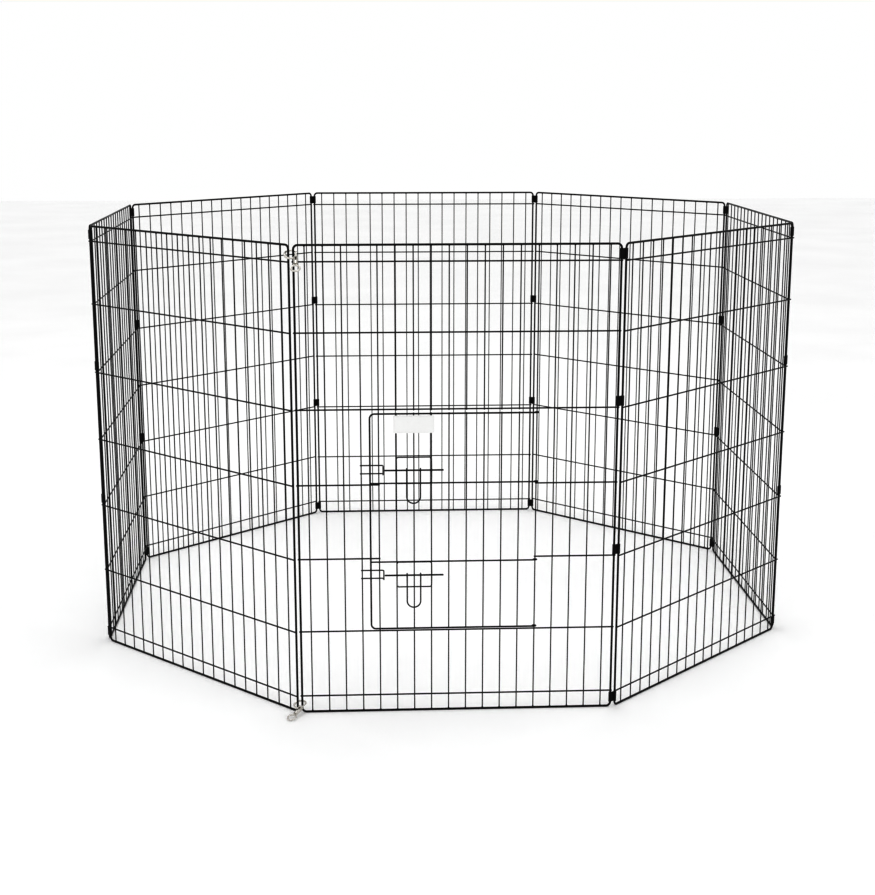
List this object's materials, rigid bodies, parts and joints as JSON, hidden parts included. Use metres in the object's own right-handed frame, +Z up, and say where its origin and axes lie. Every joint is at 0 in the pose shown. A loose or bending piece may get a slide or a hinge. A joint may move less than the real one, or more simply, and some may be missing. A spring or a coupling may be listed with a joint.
{
  "type": "pet playpen",
  "caption": "Folding octagonal wire pen for a pet, with a latched door in one panel and snap hooks at the seam.",
  "frame": {"origin": "on the floor at the middle of the octagon", "axes": "+Z up, the door panel faces -Y, +X to the right seen from in front of the door"},
  "size_m": [1.4958, 1.5367, 0.914],
  "materials": {
    "panel_wire": "gloss",
    "door_wire": "gloss",
    "latch_wire": "gloss",
    "clip_steel": "satin",
    "card_plastic": "satin",
    "snap_nickel": "gloss",
    "snap_gate_nickel": "gloss",
    "spring_steel": "satin"
  },
  "bodies": {
    "door_panel": {"door_panel_frame": "panel_wire", "door_panel_uprights": "panel_wire", "door_panel_crosswires": "panel_wire", "lower_keeper": "latch_wire", "upper_keeper": "latch_wire"},
    "panel_1": {"panel_1_frame": "panel_wire", "panel_1_uprights": "panel_wire", "panel_1_crosswires": "panel_wire", "corner_1_clips": "clip_steel", "corner_2_clips": "clip_steel"},
    "panel_2": {"panel_2_frame": "panel_wire", "panel_2_uprights": "panel_wire", "panel_2_crosswires": "panel_wire"},
    "panel_3": {"panel_3_frame": "panel_wire", "panel_3_uprights": "panel_wire", "panel_3_crosswires": "panel_wire", "corner_3_clips": "clip_steel", "corner_4_clips": "clip_steel"},
    "panel_4": {"panel_4_frame": "panel_wire", "panel_4_uprights": "panel_wire", "panel_4_crosswires": "panel_wire"},
    "panel_5": {"panel_5_frame": "panel_wire", "panel_5_uprights": "panel_wire", "panel_5_crosswires": "panel_wire", "corner_5_clips": "clip_steel", "corner_6_clips": "clip_steel"},
    "panel_6": {"panel_6_frame": "panel_wire", "panel_6_uprights": "panel_wire", "panel_6_crosswires": "panel_wire"},
    "panel_7": {"panel_7_frame": "panel_wire", "panel_7_uprights": "panel_wire", "panel_7_crosswires": "panel_wire", "corner_7_clips": "clip_steel"},
    "door": {"door_frame": "door_wire", "door_crosswires": "door_wire", "door_uprights": "door_wire", "name_card": "card_plastic", "lower_latch_guide": "latch_wire", "upper_latch_guide": "latch_wire"},
    "lower_bolt": {"lower_latch_bolt": "latch_wire"},
    "lower_handle": {"lower_latch_handle": "latch_wire"},
    "lower_snap": {"lower_snap_body": "snap_nickel", "lower_snap_spring": "spring_steel"},
    "lower_gate": {"lower_snap_gate": "snap_gate_nickel"},
    "lower_eye": {"lower_snap_eye": "snap_nickel"},
    "upper_bolt": {"upper_latch_bolt": "latch_wire"},
    "upper_handle": {"upper_latch_handle": "latch_wire"},
    "upper_snap": {"upper_snap_body": "snap_nickel", "upper_snap_spring": "spring_steel"},
    "upper_gate": {"upper_snap_gate": "snap_gate_nickel"},
    "upper_eye": {"upper_snap_eye": "snap_nickel"}
  },
  "joints": [
    {"name": "corner_4_turn", "type": "hinge", "parent": "panel_4", "child": "panel_3", "pos_m": [0.303, 0.74457, 0], "axis": [0, 0, 1], "range_deg": [0, 150]},
    {"name": "corner_3_turn", "type": "hinge", "parent": "panel_3", "child": "panel_2", "pos_m": [0.74457, 0.303, 0], "axis": [0, 0, 1], "range_deg": [0, 45]},
    {"name": "corner_2_turn", "type": "hinge", "parent": "panel_2", "child": "panel_1", "pos_m": [0.74457, -0.303, 0], "axis": [0, 0, -1], "range_deg": [0, 75]},
    {"name": "corner_1_turn", "type": "hinge", "parent": "panel_1", "child": "door_panel", "pos_m": [0.303, -0.74457, 0], "axis": [0, 0, 1], "range_deg": [0, 45]},
    {"name": "corner_5_turn", "type": "hinge", "parent": "panel_4", "child": "panel_5", "pos_m": [-0.303, 0.74457, 0], "axis": [0, 0, -1], "range_deg": [0, 45]},
    {"name": "corner_6_turn", "type": "hinge", "parent": "panel_5", "child": "panel_6", "pos_m": [-0.74457, 0.303, 0], "axis": [0, 0, 1], "range_deg": [0, 75]},
    {"name": "corner_7_turn", "type": "hinge", "parent": "panel_6", "child": "panel_7", "pos_m": [-0.74457, -0.303, 0], "axis": [0, 0, -1], "range_deg": [0, 45]},
    {"name": "door_swing", "type": "hinge", "parent": "door_panel", "child": "door", "pos_m": [0.14985, -0.74367, 0], "axis": [0, 0, 1], "range_deg": [0, 160]},
    {"name": "lower_bolt_slide", "type": "slide", "parent": "door", "child": "lower_bolt", "axis": [1, 0, 0], "range_m": [-0.015, 0.018]},
    {"name": "lower_handle_lift", "type": "hinge", "parent": "lower_bolt", "child": "lower_handle", "pos_m": [0, -0.75027, 0.2795], "axis": [-1, 0, 0], "range_deg": [0, 100]},
    {"name": "upper_bolt_slide", "type": "slide", "parent": "door", "child": "upper_bolt", "axis": [1, 0, 0], "range_m": [-0.015, 0.018]},
    {"name": "upper_handle_lift", "type": "hinge", "parent": "upper_bolt", "child": "upper_handle", "pos_m": [0, -0.75027, 0.487], "axis": [-1, 0, 0], "range_deg": [0, 100]},
    {"name": "lower_snap_lift", "type": "hinge", "parent": "panel_7", "child": "lower_snap", "pos_m": [-0.30762, -0.74266, 0.01612], "axis": [-0.809, 0.5878, 0], "range_deg": [0, 60]},
    {"name": "lower_gate_slide", "type": "slide", "parent": "lower_snap", "child": "lower_gate", "axis": [-0.5621, -0.7737, -0.2924], "range_m": [0, 0.007], "stiffness_N_per_m": 300, "springref_m": -0.004, "deforming": ["lower_snap_spring"]},
    {"name": "lower_eye_swivel", "type": "hinge", "parent": "lower_snap", "child": "lower_eye", "pos_m": [-0.32264, -0.77915, 0.0044], "axis": [-0.5621, -0.7737, -0.2924], "continuous": true},
    {"name": "upper_snap_lift", "type": "hinge", "parent": "panel_7", "child": "upper_snap", "pos_m": [-0.30762, -0.74266, 0.895], "axis": [-1, 0, 0], "range_deg": [0, 60]},
    {"name": "upper_gate_slide", "type": "slide", "parent": "upper_snap", "child": "upper_gate", "axis": [0, -0.8387, -0.5446], "range_m": [0, 0.007], "stiffness_N_per_m": 300, "springref_m": -0.004, "deforming": ["upper_snap_spring"]},
    {"name": "upper_eye_swivel", "type": "hinge", "parent": "upper_snap", "child": "upper_eye", "pos_m": [-0.29832, -0.77629, 0.87316], "axis": [0, -0.8387, -0.5446], "continuous": true}
  ]
}
